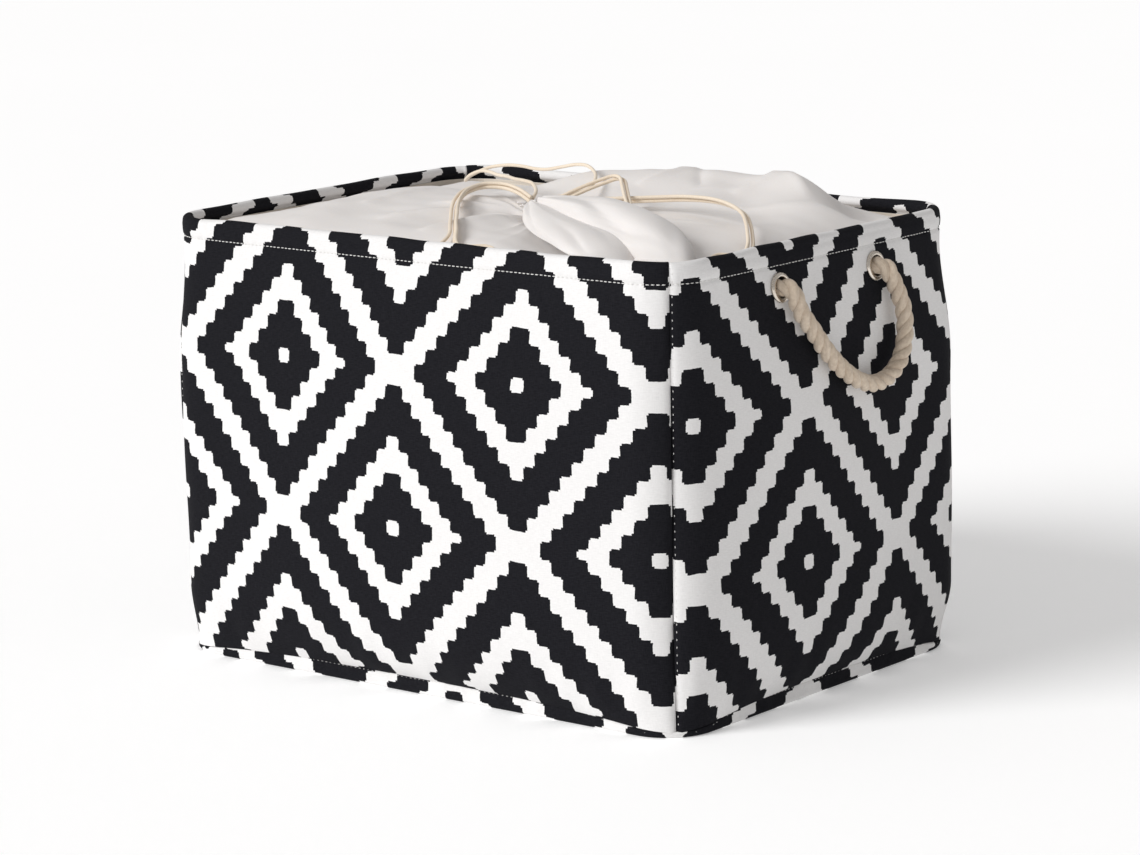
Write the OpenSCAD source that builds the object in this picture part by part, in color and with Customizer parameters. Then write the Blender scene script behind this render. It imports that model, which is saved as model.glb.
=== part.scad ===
// Fabric storage bin: printed canvas walls over a rim wire, sewn lining,
// rope handles through grommets, and a gathered cover with a drawstring.
// Millimetres, +Z up, +X along the long side. The origin is at the middle
// of the base, on the surface that the bin stands on.

/* [Body] */
// Length of the bin along X, between the flat parts of the walls
body_w = 396; // [388:1:404]
// Width of the bin along Y, between the flat parts of the walls
body_d = 290; // [284:1:296]
// Height from the base to the top of the rim
body_h = 275; // [274:1:277]
// Radius of the upright corners
corner_r = 32; // [28:1:38]
// How far the long walls bow out at the fullest height
bow_long = 18; // [10:1:20]
// How far the short walls bow out at the fullest height
bow_short = 14; // [8:1:14]
// How far the corners draw in at the fullest height
corner_pull = 3; // [1:0.5:4]

/* [Cloth] */
// Thickness of the printed canvas
canvas_t = 1.1; // [0.8:0.1:1.2]
// Thickness of the lining
lining_t = 0.8; // [0.5:0.1:1]
// Thickness of the cover cloth
cover_t = 1; // [0.6:0.1:1.2]
// Height of the seam where the base cloth meets the walls
seam_z = 10; // [8:1:14]
// How far the hem's stitch line lies below the rim
hem_stitch = 12.5; // [11:0.5:14]
// How far the canvas shows inside the rim, down to the lining
hem_flap = 9; // [8:0.5:10]

/* [Rim wire] */
// Diameter of the rim wire
wire_d = 3; // [2.5:0.1:3]
// Length of the sleeve that joins the wire's ends
sleeve_l = 26; // [16:1:40]

/* [Base] */
// Thickness of the stiff board in the base
board_t = 2.4; // [1.5:0.1:2.4]

/* [Handles] */
// Diameter of the rope
rope_d = 10.2; // [8:0.1:10.4]
// Distance between the two grommets of one handle
grommet_pitch = 96; // [90:1:98]
// Distance of the grommets below the rim
grommet_drop = 25; // [24:0.5:26]
// Outer diameter of a grommet
grommet_d = 18; // [17:0.5:20]
// Diameter of the stopper knot on each rope end
knot_d = 24; // [18:1:26]

/* [Cover] */
// Diameter of the gathered neck
neck_d = 17; // [14:1:20]
// Diameter of the drawcord
cord_d = 2.2; // [1.8:0.1:2.4]

/* [Hidden] */

cx = body_w / 2 - corner_r;
cy = body_d / 2 - corner_r;
arc_l = corner_r * PI / 4;
gap = 0.3;
full_z = 110;
lining_off = -canvas_t - 1.9;
liner_in = lining_off - lining_t;
fold_r = wire_d / 2 + 0.8;
wire_off = -fold_r - canvas_t;
wire_z = body_h + wire_off;
bow_top = wire_z - fold_r;
flap_z = body_h - hem_flap;
floor_z = canvas_t + gap + board_t + gap;
wall_steps = 8;
arc_steps = 4;
levels = [0, 2, 5, 10, 17, 26, 40, 65, 95, 130, 165, 195, 220, 238, 249];

canvas_white = [0.93, 0.93, 0.92];
canvas_shade = [0.82, 0.80, 0.79];
canvas_grey = [0.72, 0.71, 0.70];
lining_beige = [0.90, 0.87, 0.82];
board_grey = [0.45, 0.44, 0.42];
thread_white = [0.97, 0.97, 0.95];
steel = [0.62, 0.63, 0.65];
nickel = [0.78, 0.76, 0.72];
rope_cream = [0.86, 0.77, 0.66];
cover_white = [0.92, 0.90, 0.88];
cord_cream = [0.93, 0.85, 0.75];

// How much of the full bow a wall has at height z
function fullness(z) = z >= full_z
    ? pow(sin(90 * max(bow_top - z, 0) / (bow_top - full_z)), 0.8)
    : 1 - pow(1 - max(z - seam_z, 0) / (full_z - seam_z), 6);

// Outward offset of a wall at s (-1..1 across it) and height z
function bow(s, z, amount) =
    ((amount + corner_pull) * (1 - pow(abs(s), 2.3)) - corner_pull)
    * fullness(z);

// Plan point of a long wall, at length u along it and offset off outward
function wall_point(u, off, straight, reach) =
    let (over = abs(u) - straight, side = u < 0 ? -1 : 1)
    over <= 0
        ? [u, reach + corner_r + off]
        : let (t = over / corner_r * 180 / PI)
          [side * (straight + (corner_r + off) * sin(t)),
           reach + (corner_r + off) * cos(t)];

// Stations across a wall, finer round the corners
function stations(straight) = concat(
    [for (i = [0 : arc_steps - 1]) -straight - arc_l * (1 - i / arc_steps)],
    [for (i = [0 : wall_steps]) straight * (2 * i / wall_steps - 1)],
    [for (i = [1 : arc_steps]) straight + arc_l * i / arc_steps]);

// A closed section of [offset, height] points, swept across a wall
module wall_sweep(section, straight, reach, amount, turn) {
    us = stations(straight);
    n = len(section);
    points = [for (u = us) for (q = section)
        let (off = q[0] + bow(u / (straight + arc_l), q[1], amount),
             p = wall_point(u, off, straight, reach))
        [p[0], p[1], q[1]]];
    skin = [for (i = [0 : len(us) - 2]) for (j = [0 : n - 1])
        let (k = (j + 1) % n)
        each [[i * n + j, (i + 1) * n + j, i * n + k],
              [i * n + k, (i + 1) * n + j, (i + 1) * n + k]]];
    ends = [[for (j = [0 : n - 1]) j],
            [for (j = [n - 1 : -1 : 0]) (len(us) - 1) * n + j]];
    rotate([0, 0, turn])
        polyhedron(points, concat(skin, ends), convexity = 8);
}

// Canvas section: up the outside, over the wire, and down inside the hem
function canvas_section() =
    let (top = [for (z = levels) if (z + seam_z < body_h - hem_stitch) z + seam_z],
         outer = concat([for (z = top) [0, z]], [[0, body_h - hem_stitch]]),
         over = [for (a = [0 : 22.5 : 225])
             [wire_off + (fold_r + canvas_t) * cos(a),
              wire_z + (fold_r + canvas_t) * sin(a)]],
         back = [[-2 * canvas_t - gap, flap_z],
                 [-2 * canvas_t - gap, body_h - hem_stitch - 1],
                 [-canvas_t - gap, body_h - hem_stitch - 1],
                 [-canvas_t - gap, flap_z + 0.5]],
         under = [for (a = [225 : -22.5 : 0])
             [wire_off + fold_r * cos(a), wire_z + fold_r * sin(a)]],
         inner = [for (i = [len(outer) - 1 : -1 : 0])
             [-canvas_t, outer[i][1]]])
    concat(outer, over, back, under, inner);

// Lining section: a plain skin inside the canvas
function lining_section() =
    let (zs = concat([floor_z], [for (z = levels)
             if (z + seam_z > floor_z + 2 && z + seam_z < flap_z - 4) z + seam_z],
             [flap_z]))
    concat([for (z = zs) [lining_off, z]],
           [for (i = [len(zs) - 1 : -1 : 0]) [liner_in, zs[i]]]);

// A rounded rectangle, offset outward from the walls
module plan(off) {
    r = corner_r + off;
    union() {
        square([2 * cx, 2 * cy + 2 * r], center = true);
        square([2 * cx + 2 * r, 2 * cy], center = true);
        for (x = [-cx, cx]) {
            for (y = [-cy, cy]) {
                translate([x, y])
                    circle(r = r, $fn = 64);
            }
        }
    }
}

// A flat ring of the walls' plan, from one offset to another
module plan_ring(off_in, off_out, z0, z1) {
    translate([0, 0, z0])
        linear_extrude(height = z1 - z0)
            difference() {
                plan(off_out);
                plan(off_in);
            }
}

/* Places of the grommets on the right wall */
grommet_y = grommet_pitch / 2;
grommet_z = body_h - grommet_drop;
short_len = cy + arc_l;
grommet_x = body_w / 2 + bow(grommet_y / short_len, grommet_z, bow_short);
below_x = body_w / 2 + bow(grommet_y / short_len, grommet_z - 4, bow_short);
above_x = body_w / 2 + bow(grommet_y / short_len, grommet_z + 4, bow_short);
grommet_tilt = atan((below_x - above_x) / 8);
flange_t = 1.6;
barrel_r = rope_d / 2 + 1.1;
barrel_wall = 0.7;
hinge_x = 210.5;
hinge_z = grommet_z + (hinge_x - grommet_x) * tan(grommet_tilt);

// Puts children at both grommets of the right wall, with +Z outward
module at_grommets() {
    for (side = [-1, 1]) {
        translate([grommet_x, side * grommet_y, grommet_z])
            rotate([0, 90 - grommet_tilt, 0])
                children();
    }
}

// Two holes through the right wall
module grommet_holes() {
    at_grommets()
        translate([0, 0, -12])
            cylinder(r = barrel_r + barrel_wall + 0.3, h = 24, $fn = 48);
}

module front_panel() {
    color(canvas_white)
        wall_sweep(canvas_section(), cx, cy, bow_long, 180);
}

module back_panel() {
    color(canvas_grey)
        wall_sweep(canvas_section(), cx, cy, bow_long, 0);
}

module right_wall() {
    difference() {
        wall_sweep(canvas_section(), cy, cx, bow_short, -90);
        grommet_holes();
    }
}

module right_panel() {
    color(canvas_shade)
        right_wall();
}

module left_panel() {
    color(canvas_grey)
        rotate([0, 0, 180])
            right_wall();
}

module base_panel() {
    color(canvas_grey)
        union() {
            linear_extrude(height = canvas_t)
                plan(0);
            plan_ring(-canvas_t, 0, canvas_t / 2, seam_z);
        }
}

module front_lining() {
    color(lining_beige)
        wall_sweep(lining_section(), cx, cy, bow_long, 180);
}

module back_lining() {
    color(lining_beige)
        wall_sweep(lining_section(), cx, cy, bow_long, 0);
}

module short_lining() {
    difference() {
        wall_sweep(lining_section(), cy, cx, bow_short, -90);
        grommet_holes();
    }
}

module right_lining() {
    color(lining_beige)
        short_lining();
}

module left_lining() {
    color(lining_beige)
        rotate([0, 0, 180])
            short_lining();
}

module base_lining() {
    color(lining_beige)
        translate([0, 0, floor_z])
            linear_extrude(height = lining_t)
                plan(liner_in - gap);
}

module base_board() {
    color(board_grey)
        translate([0, 0, canvas_t + gap])
            linear_extrude(height = board_t)
                plan(liner_in - 1);
}

module rim_wire() {
    r = corner_r + wire_off;
    color(steel)
        translate([0, 0, wire_z])
            union() {
                for (side = [-1, 1]) {
                    translate([-cx, side * (cy + r), 0])
                        rotate([0, 90, 0])
                            cylinder(d = wire_d, h = 2 * cx, $fn = 32);
                    translate([side * (cx + r), cy, 0])
                        rotate([90, 0, 0])
                            cylinder(d = wire_d, h = 2 * cy, $fn = 32);
                }
                for (q = [[cx, cy, 0], [-cx, cy, 90], [-cx, -cy, 180], [cx, -cy, 270]]) {
                    translate([q[0], q[1], 0])
                        rotate([0, 0, q[2]])
                            rotate_extrude(angle = 90, $fn = 96)
                                translate([r, 0])
                                    circle(d = wire_d, $fn = 32);
                }
            }
}

module wire_sleeve() {
    r = corner_r + wire_off;
    color(nickel)
        translate([-sleeve_l / 2, cy + r, wire_z])
            rotate([0, 90, 0])
                difference() {
                    cylinder(d = wire_d + 1.3, h = sleeve_l, $fn = 32);
                    translate([0, 0, -1])
                        cylinder(d = wire_d + 0.1, h = sleeve_l + 2, $fn = 32);
                }
}

// A square thread laid round the walls at height z
module hem_stitching() {
    z = body_h - hem_stitch;
    run = [[0.05, z - 0.4], [0.75, z - 0.4], [0.75, z + 0.4], [0.05, z + 0.4]];
    color(thread_white) {
        wall_sweep(run, cx, cy, bow_long, 180);
        wall_sweep(run, cx, cy, bow_long, 0);
        wall_sweep(run, cy, cx, bow_short, -90);
        wall_sweep(run, cy, cx, bow_short, 90);
    }
}

// A thread up one corner seam, at the corner in the direction given
module corner_thread(turn) {
    zs = [for (z = levels) if (z > 1) z + seam_z];
    n = len(zs);
    points = [for (z = zs) for (q = [[0.2, -0.4], [0.9, -0.4], [0.9, 0.4], [0.2, 0.4]])
        let (r = corner_r - corner_pull * fullness(z) + q[0])
        [r, q[1], z]];
    faces = concat(
        [for (i = [0 : n - 2]) for (j = [0 : 3])
            let (k = (j + 1) % 4)
            each [[i * 4 + j, (i + 1) * 4 + j, i * 4 + k],
                  [i * 4 + k, (i + 1) * 4 + j, (i + 1) * 4 + k]]],
        [[0, 1, 2, 3], [for (j = [3 : -1 : 0]) (n - 1) * 4 + j]]);
    rotate([0, 0, turn])
        polyhedron(points, faces, convexity = 4);
}

module corner_stitching() {
    color(thread_white)
        for (q = [[cx, cy, 45], [-cx, cy, 135], [-cx, -cy, 225], [cx, -cy, 315]]) {
            translate([q[0], q[1], 0])
                corner_thread(q[2]);
        }
}

module base_stitching() {
    color(thread_white)
        plan_ring(0.05, 0.6, seam_z - 1.6, seam_z - 0.8);
}

module grommet_pair() {
    at_grommets()
        rotate_extrude($fn = 64)
            difference() {
                union() {
                    translate([barrel_r, -7.2])
                        square([barrel_wall, 7.2 + 0.5 + flange_t]);
                    translate([barrel_r, 0.5])
                        square([grommet_d / 2 - barrel_r - flange_t / 2, flange_t]);
                    translate([grommet_d / 2 - flange_t / 2, 0.5 + flange_t / 2])
                        circle(d = flange_t, $fn = 24);
                }
                translate([barrel_r - 1, -8])
                    square([1, 12]);
            }
}

module right_grommets() {
    color(nickel)
        grommet_pair();
}

module left_grommets() {
    color(nickel)
        rotate([0, 0, 180])
            grommet_pair();
}

module washer_pair() {
    at_grommets()
        translate([0, 0, liner_in - 1.6])
            difference() {
                cylinder(d = grommet_d, h = 1.1, $fn = 64);
                translate([0, 0, -1])
                    cylinder(r = barrel_r + barrel_wall + 0.05, h = 4, $fn = 64);
            }
}

module right_washers() {
    color(nickel)
        washer_pair();
}

module left_washers() {
    color(nickel)
        rotate([0, 0, 180])
            washer_pair();
}

// The fixed ends of a handle: rope through the grommet, knotted inside
module rope_end_pair() {
    reach = (hinge_x - grommet_x) / cos(grommet_tilt);
    depth = 7.4 + knot_d / 2;
    at_grommets()
        union() {
            translate([0, 0, -depth])
                cylinder(d = rope_d, h = depth + reach, $fn = 48);
            translate([0, 0, reach])
                sphere(d = rope_d, $fn = 48);
            translate([0, 0, -depth])
                sphere(d = knot_d, $fn = 48);
            translate([0, 0, -depth - 2])
                rotate([0, 90, 0])
                    cylinder(d = rope_d, h = knot_d / 2 + 14, $fn = 48);
        }
}

module right_rope_ends() {
    color(rope_cream)
        rope_end_pair();
}

module left_rope_ends() {
    color(rope_cream)
        rotate([0, 0, 180])
            rope_end_pair();
}

/* Route helpers: a smooth curve through hand-placed points, and a tube on it */
function unit(v) = v / norm(v);

function near_end(p, i) = p[max(0, min(len(p) - 1, i))];

function curve_at(p, i, t) =
    let (a = near_end(p, i - 1), b = p[i], c = near_end(p, i + 1), d = near_end(p, i + 2))
    0.5 * (2 * b + (c - a) * t + (2 * a - 5 * b + 4 * c - d) * t * t
        + (3 * b - a - 3 * c + d) * t * t * t);

function smooth(p, steps) = concat(
    [for (i = [0 : len(p) - 2]) for (k = [0 : steps - 1]) curve_at(p, i, k / steps)],
    [p[len(p) - 1]]);

function direction(p, i) = unit(near_end(p, i + 1) - near_end(p, i - 1));

function sideways(n, t) = unit(n - (n * t) * t);

function side_vectors(p) = [
    for (i = 0, n = sideways([0.31, 0.52, 0.79], direction(p, 0));
         i < len(p);
         i = i + 1, n = sideways(n, direction(p, min(i, len(p) - 1))))
    n];

function doubled(out, turn, shift) =
    concat(out, turn, [for (i = [len(out) - 1 : -1 : 0]) out[i] + shift]);

// A tube with elliptic rings of half sizes given along a path
module loft(p, halves, sides) {
    across = side_vectors(p);
    n = len(p);
    points = [for (i = [0 : n - 1]) for (j = [0 : sides - 1])
        let (t = direction(p, i), a = across[i], b = cross(t, a), w = 360 * j / sides)
        p[i] + halves[i][0] * cos(w) * a + halves[i][1] * sin(w) * b];
    skin = [for (i = [0 : n - 2]) for (j = [0 : sides - 1])
        let (k = (j + 1) % sides)
        each [[i * sides + j, (i + 1) * sides + j, i * sides + k],
              [i * sides + k, (i + 1) * sides + j, (i + 1) * sides + k]]];
    ends = [[for (j = [0 : sides - 1]) j],
            [for (j = [sides - 1 : -1 : 0]) (n - 1) * sides + j]];
    polyhedron(points, concat(skin, ends), convexity = 6);
}

module tube(route, d, sides, steps) {
    p = smooth(route, steps);
    loft(p, [for (q = p) [d / 2, d / 2]], sides);
}

/* Hand-placed routes */
handle_route = [
    [210.8, -46.9, 245.4], [211.6, -42, 236], [213, -33, 225],
    [214.6, -22, 211.5], [216, -8, 198.5], [216.6, 8, 189], [216.8, 24, 184.5],
    [216.6, 40, 186.5], [216, 53, 195], [214.6, 60, 208.5], [213, 61, 223],
    [211.6, 56, 236], [210.8, 49.6, 245.4],
];

module right_handle_rope() {
    color(rope_cream)
        tube(handle_route, rope_d, 12, 2);
}

module left_handle_rope() {
    color(rope_cream)
        rotate([0, 0, 180])
            tube(handle_route, rope_d, 12, 2);
}

/* Cover: hills of [x, y, reach in x, reach in y, height] on a flat crown */
neck = [14, -36];
crown_z = 276;
edge_z = 260;
hills = [
    [45, 66, 120, 42, 15],
    [-92, -14, 52, 52, 10],
    [-24, -30, 34, 30, 4],
    [14, -36, 16, 16, -5],
    [112, -92, 70, 34, -9],
    [130, 34, 50, 34, -3],
    [-186, 0, 36, 200, -10],
    [176, 118, 42, 42, -9],
    [-110, 112, 62, 46, -9],
];
cover_steps = 60;
cover_rings = 7;

function hill(h, x, y) = h[4] * exp(-pow((x - h[0]) / h[2], 2) - pow((y - h[1]) / h[3], 2));

function sum_of(v, i = 0) = i < len(v) ? v[i] + sum_of(v, i + 1) : 0;

function crown(x, y) = crown_z + sum_of([for (h = hills) hill(h, x, y)]);

// Distance from a plan point to the inside of the walls, near enough
function inset(x, y) =
    let (dx = abs(x) - cx, dy = abs(y) - cy, r = corner_r + liner_in - gap)
    r - (dx > 0 && dy > 0 ? norm([dx, dy]) : max(dx, dy));

function cover_z(x, y) =
    let (d = max(0, inset(x, y)))
    edge_z + (crown(x, y) - edge_z) * (1 - pow(1 - min(d / 55, 1), 3));

// Where a ray from the neck meets the inside of the walls
function wall_hit(a, near, far) =
    let (mid = (near + far) / 2, p = neck + mid * [cos(a), sin(a)])
    far - near < 0.05
        ? mid
        : inset(p[0], p[1]) > 0.4 ? wall_hit(a, mid, far) : wall_hit(a, near, mid);

module cover() {
    r0 = neck_d / 2 - 0.5;
    reach = [for (j = [0 : cover_steps - 1]) wall_hit(360 * j / cover_steps, 10, 330)];
    top = [for (i = [0 : cover_rings]) for (j = [0 : cover_steps - 1])
        let (a = 360 * j / cover_steps,
             f = pow(i / cover_rings, 0.85),
             p = neck + (r0 + (reach[j] - r0) * f) * [cos(a), sin(a)])
        [p[0], p[1], cover_z(p[0], p[1])]];
    n = cover_steps;
    m = len(top);
    points = concat(top, [for (p = top) p - [0, 0, cover_t]]);
    skin = [for (i = [0 : cover_rings - 1]) for (j = [0 : n - 1])
        let (k = (j + 1) % n, a = i * n + j, b = i * n + k, c = a + n, d = b + n)
        each [[a, b, c], [b, d, c], [a + m, c + m, b + m], [b + m, c + m, d + m]]];
    edges = [for (j = [0 : n - 1])
        let (k = (j + 1) % n, o = cover_rings * n)
        each [[j, j + m, k], [k, j + m, k + m],
              [o + j, o + k, o + j + m], [o + k, o + k + m, o + j + m]]];
    color(cover_white)
        polyhedron(points, concat(skin, edges), convexity = 8);
}

module cover_neck() {
    color(cover_white)
        translate([neck[0], neck[1], cover_z(neck[0], neck[1]) + 3])
            rotate_extrude($fn = 48)
                translate([neck_d / 2 - 4, 0])
                    square([4, 8]);
}

// Folds of the gathered edge that lie over towards the near corner
back_fold_route = [
    [24, -43, 283], [51, -48, 284], [80, -61, 285.5], [107, -76, 286],
    [138, -91, 286], [158, -101, 283], [172, -108, 277],
];
back_fold_halves = [[6, 4], [12, 6.5], [17, 9], [19, 9.5], [19, 9.5], [17, 9], [10, 6]];
front_fold_route = [
    [32, -62, 280.5], [54, -79, 281], [82, -100, 280.5], [106, -116, 278.5],
    [124, -127, 275],
];
front_fold_halves = [[5, 3], [8, 5.5], [11, 6.5], [11, 6.5], [7, 4.5]];

module ruffle_back_fold() {
    color(cover_white)
        loft_flat(back_fold_route, back_fold_halves);
}

module ruffle_front_fold() {
    color(cover_white)
        loft_flat(front_fold_route, front_fold_halves);
}

// A flat soft fold: elliptic rings, wide across the route and low
module loft_flat(route, halves) {
    p = smooth(route, 2);
    n = len(p);
    sides = 14;
    h = smooth(halves, 2);
    points = [for (i = [0 : n - 1]) for (j = [0 : sides - 1])
        let (t = direction(p, i), a = unit(cross([0, 0, 1], t)), b = cross(t, a),
             w = 360 * j / sides)
        p[i] + h[i][0] * cos(w) * a + h[i][1] * sin(w) * b];
    skin = [for (i = [0 : n - 2]) for (j = [0 : sides - 1])
        let (k = (j + 1) % sides)
        each [[i * sides + j, (i + 1) * sides + j, i * sides + k],
              [i * sides + k, (i + 1) * sides + j, (i + 1) * sides + k]]];
    ends = [[for (j = [0 : sides - 1]) j],
            [for (j = [sides - 1 : -1 : 0]) (n - 1) * sides + j]];
    polyhedron(points, concat(skin, ends), convexity = 6);
}

/* Drawcord routes: each loop goes out from the neck and comes back to it */
front_out = [
    [4, -32, 284], [-8, -29, 288], [-22, -27, 290], [-33, -33, 290],
    [-35, -45, 288], [-29, -59, 285.5], [-19, -74, 282.5], [-7, -89, 280],
    [5, -104, 278], [17, -118, 275.5], [24, -127, 272.5], [30, -132, 270],
];
front_turn = [
    [38, -135, 269], [46, -136.8, 268.4], [53, -135.4, 268.6], [56, -130.6, 269.8],
    [52.6, -126.2, 271.2], [45.6, -126, 272.2], [38, -129.6, 271.8],
];
front_loop_route = doubled(front_out, front_turn, [0.6, 0.6, 2.4]);

module drawcord_front_loop() {
    color(cord_cream)
        tube(front_loop_route, cord_d, 8, 2);
}

front_tail_route = [
    [3, -29.4, 285.2], [-9, -26.2, 289.4], [-22.8, -24.2, 291.4],
    [-35, -30.6, 291.4], [-37.8, -45, 289.2], [-31.6, -60.2, 286.5],
    [-21.2, -75.8, 283.5], [-9.2, -90.8, 281], [2.8, -105.8, 279],
    [14, -119.5, 276.4], [17, -128, 273.4], [14, -133.4, 270.2],
    [6, -135.5, 268.5], [-4, -135.5, 268.4], [-16, -135, 268.6],
];
tail_knot_d = 6.5;

module drawcord_front_tail() {
    color(cord_cream)
        tube(front_tail_route, cord_d, 8, 3);
}

// The stopper knot that ends the tail
module tail_knot() {
    end = front_tail_route[len(front_tail_route) - 1];
    color(cord_cream)
        translate([end[0] - tail_knot_d / 2 - 0.02, end[1] + 0.6, end[2] + 1.6])
            sphere(d = tail_knot_d, $fn = 24);
}

back_loop_route = [
    [7, -27, 284], [14, -10, 286], [15, 8, 287], [9, 24, 289], [-4, 42, 292],
    [-22, 57, 294], [-42, 70, 292], [-62, 81, 288], [-82, 91, 284],
    [-98, 98, 282.5], [-114, 104, 282.5], [-131, 109, 281.5], [-148, 111, 278.5],
    [-156, 103, 274], [-150, 90, 272.5], [-139, 77, 275.5], [-128, 69, 280],
    [-117, 66, 283.5], [-106, 62, 284], [-94, 56, 283.5], [-78, 45, 285],
    [-58, 29, 286.5], [-38, 14, 288.5], [-20, 0, 289.5], [-6, -14, 287.5],
    [0, -25, 284.5],
];

module drawcord_back_loop() {
    color(cord_cream)
        tube(back_loop_route, cord_d, 8, 3);
}

centre_out = [
    [15, -25, 284], [22, -18, 288.5], [29, -11, 292.5], [36, -4, 296],
    [43, 0, 298.5], [50, -2, 298], [57, -9, 294.5], [65, -17, 289.5],
    [73, -24, 284.5],
];
centre_turn = [
    [80, -31, 280.4], [86, -35, 279.6], [92, -33.6, 279.4], [93.6, -28, 279.4],
    [89.4, -24, 279.2], [83, -24.6, 279],
];

module drawcord_centre_loop() {
    color(cord_cream)
        tube(doubled(centre_out, centre_turn, [2.6, 1.2, -1.8]), cord_d, 8, 3);
}

right_out = [
    [24, -32, 284], [38, -22, 284.5], [56, -12, 285], [76, -3, 286],
    [98, 2, 287.5], [120, 0, 288], [140, -8, 287], [156, -18, 284.5],
    [168, -30, 281], [178, -42, 276.5], [184, -50, 272.5], [187.5, -58, 269],
    [188, -67, 268.2],
];
right_turn = [
    [188.6, -76, 268], [187, -82, 268.2], [182, -84.4, 269], [177.6, -81, 270],
    [178.6, -75, 271],
];

module drawcord_right_loop() {
    color(cord_cream)
        tube(doubled(right_out, right_turn, [-2.2, -2, 2.2]), cord_d, 8, 2);
}

front_panel();
back_panel();
left_panel();
right_panel();
base_panel();
front_lining();
back_lining();
left_lining();
right_lining();
base_lining();
base_board();
rim_wire();
wire_sleeve();
hem_stitching();
corner_stitching();
base_stitching();
right_grommets();
left_grommets();
right_washers();
left_washers();
right_rope_ends();
left_rope_ends();
right_handle_rope();
left_handle_rope();
cover();
cover_neck();
ruffle_back_fold();
ruffle_front_fold();
drawcord_front_loop();
drawcord_front_tail();
tail_knot();
drawcord_back_loop();
drawcord_centre_loop();
drawcord_right_loop();
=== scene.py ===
"""Looks of the fabric storage bin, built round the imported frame. Metres, +Z up.

Every soft piece is a mesh made here: the bowed canvas walls with their folded
hem, the lining, the gathered cover, the twisted ropes and the drawcord loops.
"""
import math

import bmesh
import bpy
import numpy as np
from mathutils import Matrix, Vector


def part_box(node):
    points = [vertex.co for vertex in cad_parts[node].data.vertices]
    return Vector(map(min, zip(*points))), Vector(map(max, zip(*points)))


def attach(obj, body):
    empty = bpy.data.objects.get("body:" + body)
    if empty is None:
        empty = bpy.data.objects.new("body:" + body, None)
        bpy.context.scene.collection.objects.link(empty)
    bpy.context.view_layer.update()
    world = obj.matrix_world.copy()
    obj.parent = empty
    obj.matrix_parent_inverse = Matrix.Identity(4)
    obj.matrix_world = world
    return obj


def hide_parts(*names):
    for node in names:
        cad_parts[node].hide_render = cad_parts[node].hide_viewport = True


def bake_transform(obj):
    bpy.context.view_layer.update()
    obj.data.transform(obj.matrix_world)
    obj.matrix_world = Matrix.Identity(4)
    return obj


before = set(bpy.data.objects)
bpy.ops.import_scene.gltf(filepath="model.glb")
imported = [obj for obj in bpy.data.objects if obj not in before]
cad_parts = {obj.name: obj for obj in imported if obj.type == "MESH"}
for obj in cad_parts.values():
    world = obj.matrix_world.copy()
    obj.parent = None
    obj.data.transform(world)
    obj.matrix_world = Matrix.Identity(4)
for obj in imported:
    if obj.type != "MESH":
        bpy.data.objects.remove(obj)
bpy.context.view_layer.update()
MM = 0.001

# --- dimensions
BASE_LO, BASE_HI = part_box("base_panel")
FRONT_LO, FRONT_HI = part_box("front_panel")
RIGHT_LO, RIGHT_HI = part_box("right_panel")
LINING_LO, LINING_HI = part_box("front_lining")
WIRE_LO, WIRE_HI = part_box("rim_wire")
HALF_W, HALF_D = BASE_HI.x, BASE_HI.y  # wall planes
RIM = FRONT_HI.z  # top of the hem
SEAM = BASE_HI.z  # wall to base seam
CORNER_R = 32 * MM
CX, CY = HALF_W - CORNER_R, HALF_D - CORNER_R  # corner centres
ARC = CORNER_R * math.pi / 4
PULL = 3 * MM  # corners draw in
CORNER_SINK = 7 * MM  # the lower seam drops there
BOW_LONG = -FRONT_LO.y - HALF_D
BOW_SHORT = RIGHT_HI.x - HALF_W
CANVAS = 1.1 * MM
LINING_OFF = -3.0 * MM
LINING_T = 0.8 * MM
FOLD_R = 2.3 * MM  # inside radius of the hem's fold
WIRE_OFF = -FOLD_R - CANVAS
WIRE_Z = RIM + WIRE_OFF
BOW_TOP = WIRE_Z - FOLD_R
FULL_Z = 110 * MM
HEM = 12.5 * MM  # stitch line below the rim
FLAP = 9 * MM  # canvas shown inside the rim
GROMMET_Y = 48 * MM
GROMMET_Z = RIM - 25 * MM


# --- camera
def add_camera():
    azimuth, elevation, roll = (math.radians(a) for a in (38.9, 11.11, -1.155))
    distance, shift_right, shift_up = 2.4717, 0.0044, 0.001
    back = Vector((math.sin(azimuth) * math.cos(elevation),
                   -math.cos(azimuth) * math.cos(elevation),
                   math.sin(elevation)))
    right = Vector((math.cos(azimuth), math.sin(azimuth), 0))
    up = back.cross(right)
    turned = math.cos(roll) * right + math.sin(roll) * up
    upright = back.cross(turned)
    centre = Vector((0, 0, RIM / 2))
    place = centre + back * distance + right * shift_right + up * shift_up
    data = bpy.data.cameras.new("camera")
    data.sensor_width = 36
    data.lens = 125.9
    camera = bpy.data.objects.new("camera", data)
    rows = [[turned[i], upright[i], back[i], place[i]] for i in range(3)]
    camera.matrix_world = Matrix(rows + [[0, 0, 0, 1]])
    bpy.context.scene.collection.objects.link(camera)
    bpy.context.scene.camera = camera


# --- mesh building
def new_object(name, verts, faces, uvs, material):
    mesh = bpy.data.meshes.new(name)
    mesh.from_pydata([tuple(v) for v in verts], [], [tuple(f) for f in faces])
    mesh.shade_smooth()
    if uvs is not None:
        layer = mesh.uv_layers.new(name="cloth")
        flat = np.asarray(uvs, float)[[i for f in faces for i in f]]
        layer.data.foreach_set("uv", flat.ravel())
    obj = bpy.data.objects.new(name, mesh)
    bpy.context.scene.collection.objects.link(obj)
    mesh.materials.append(material)
    return obj


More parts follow.
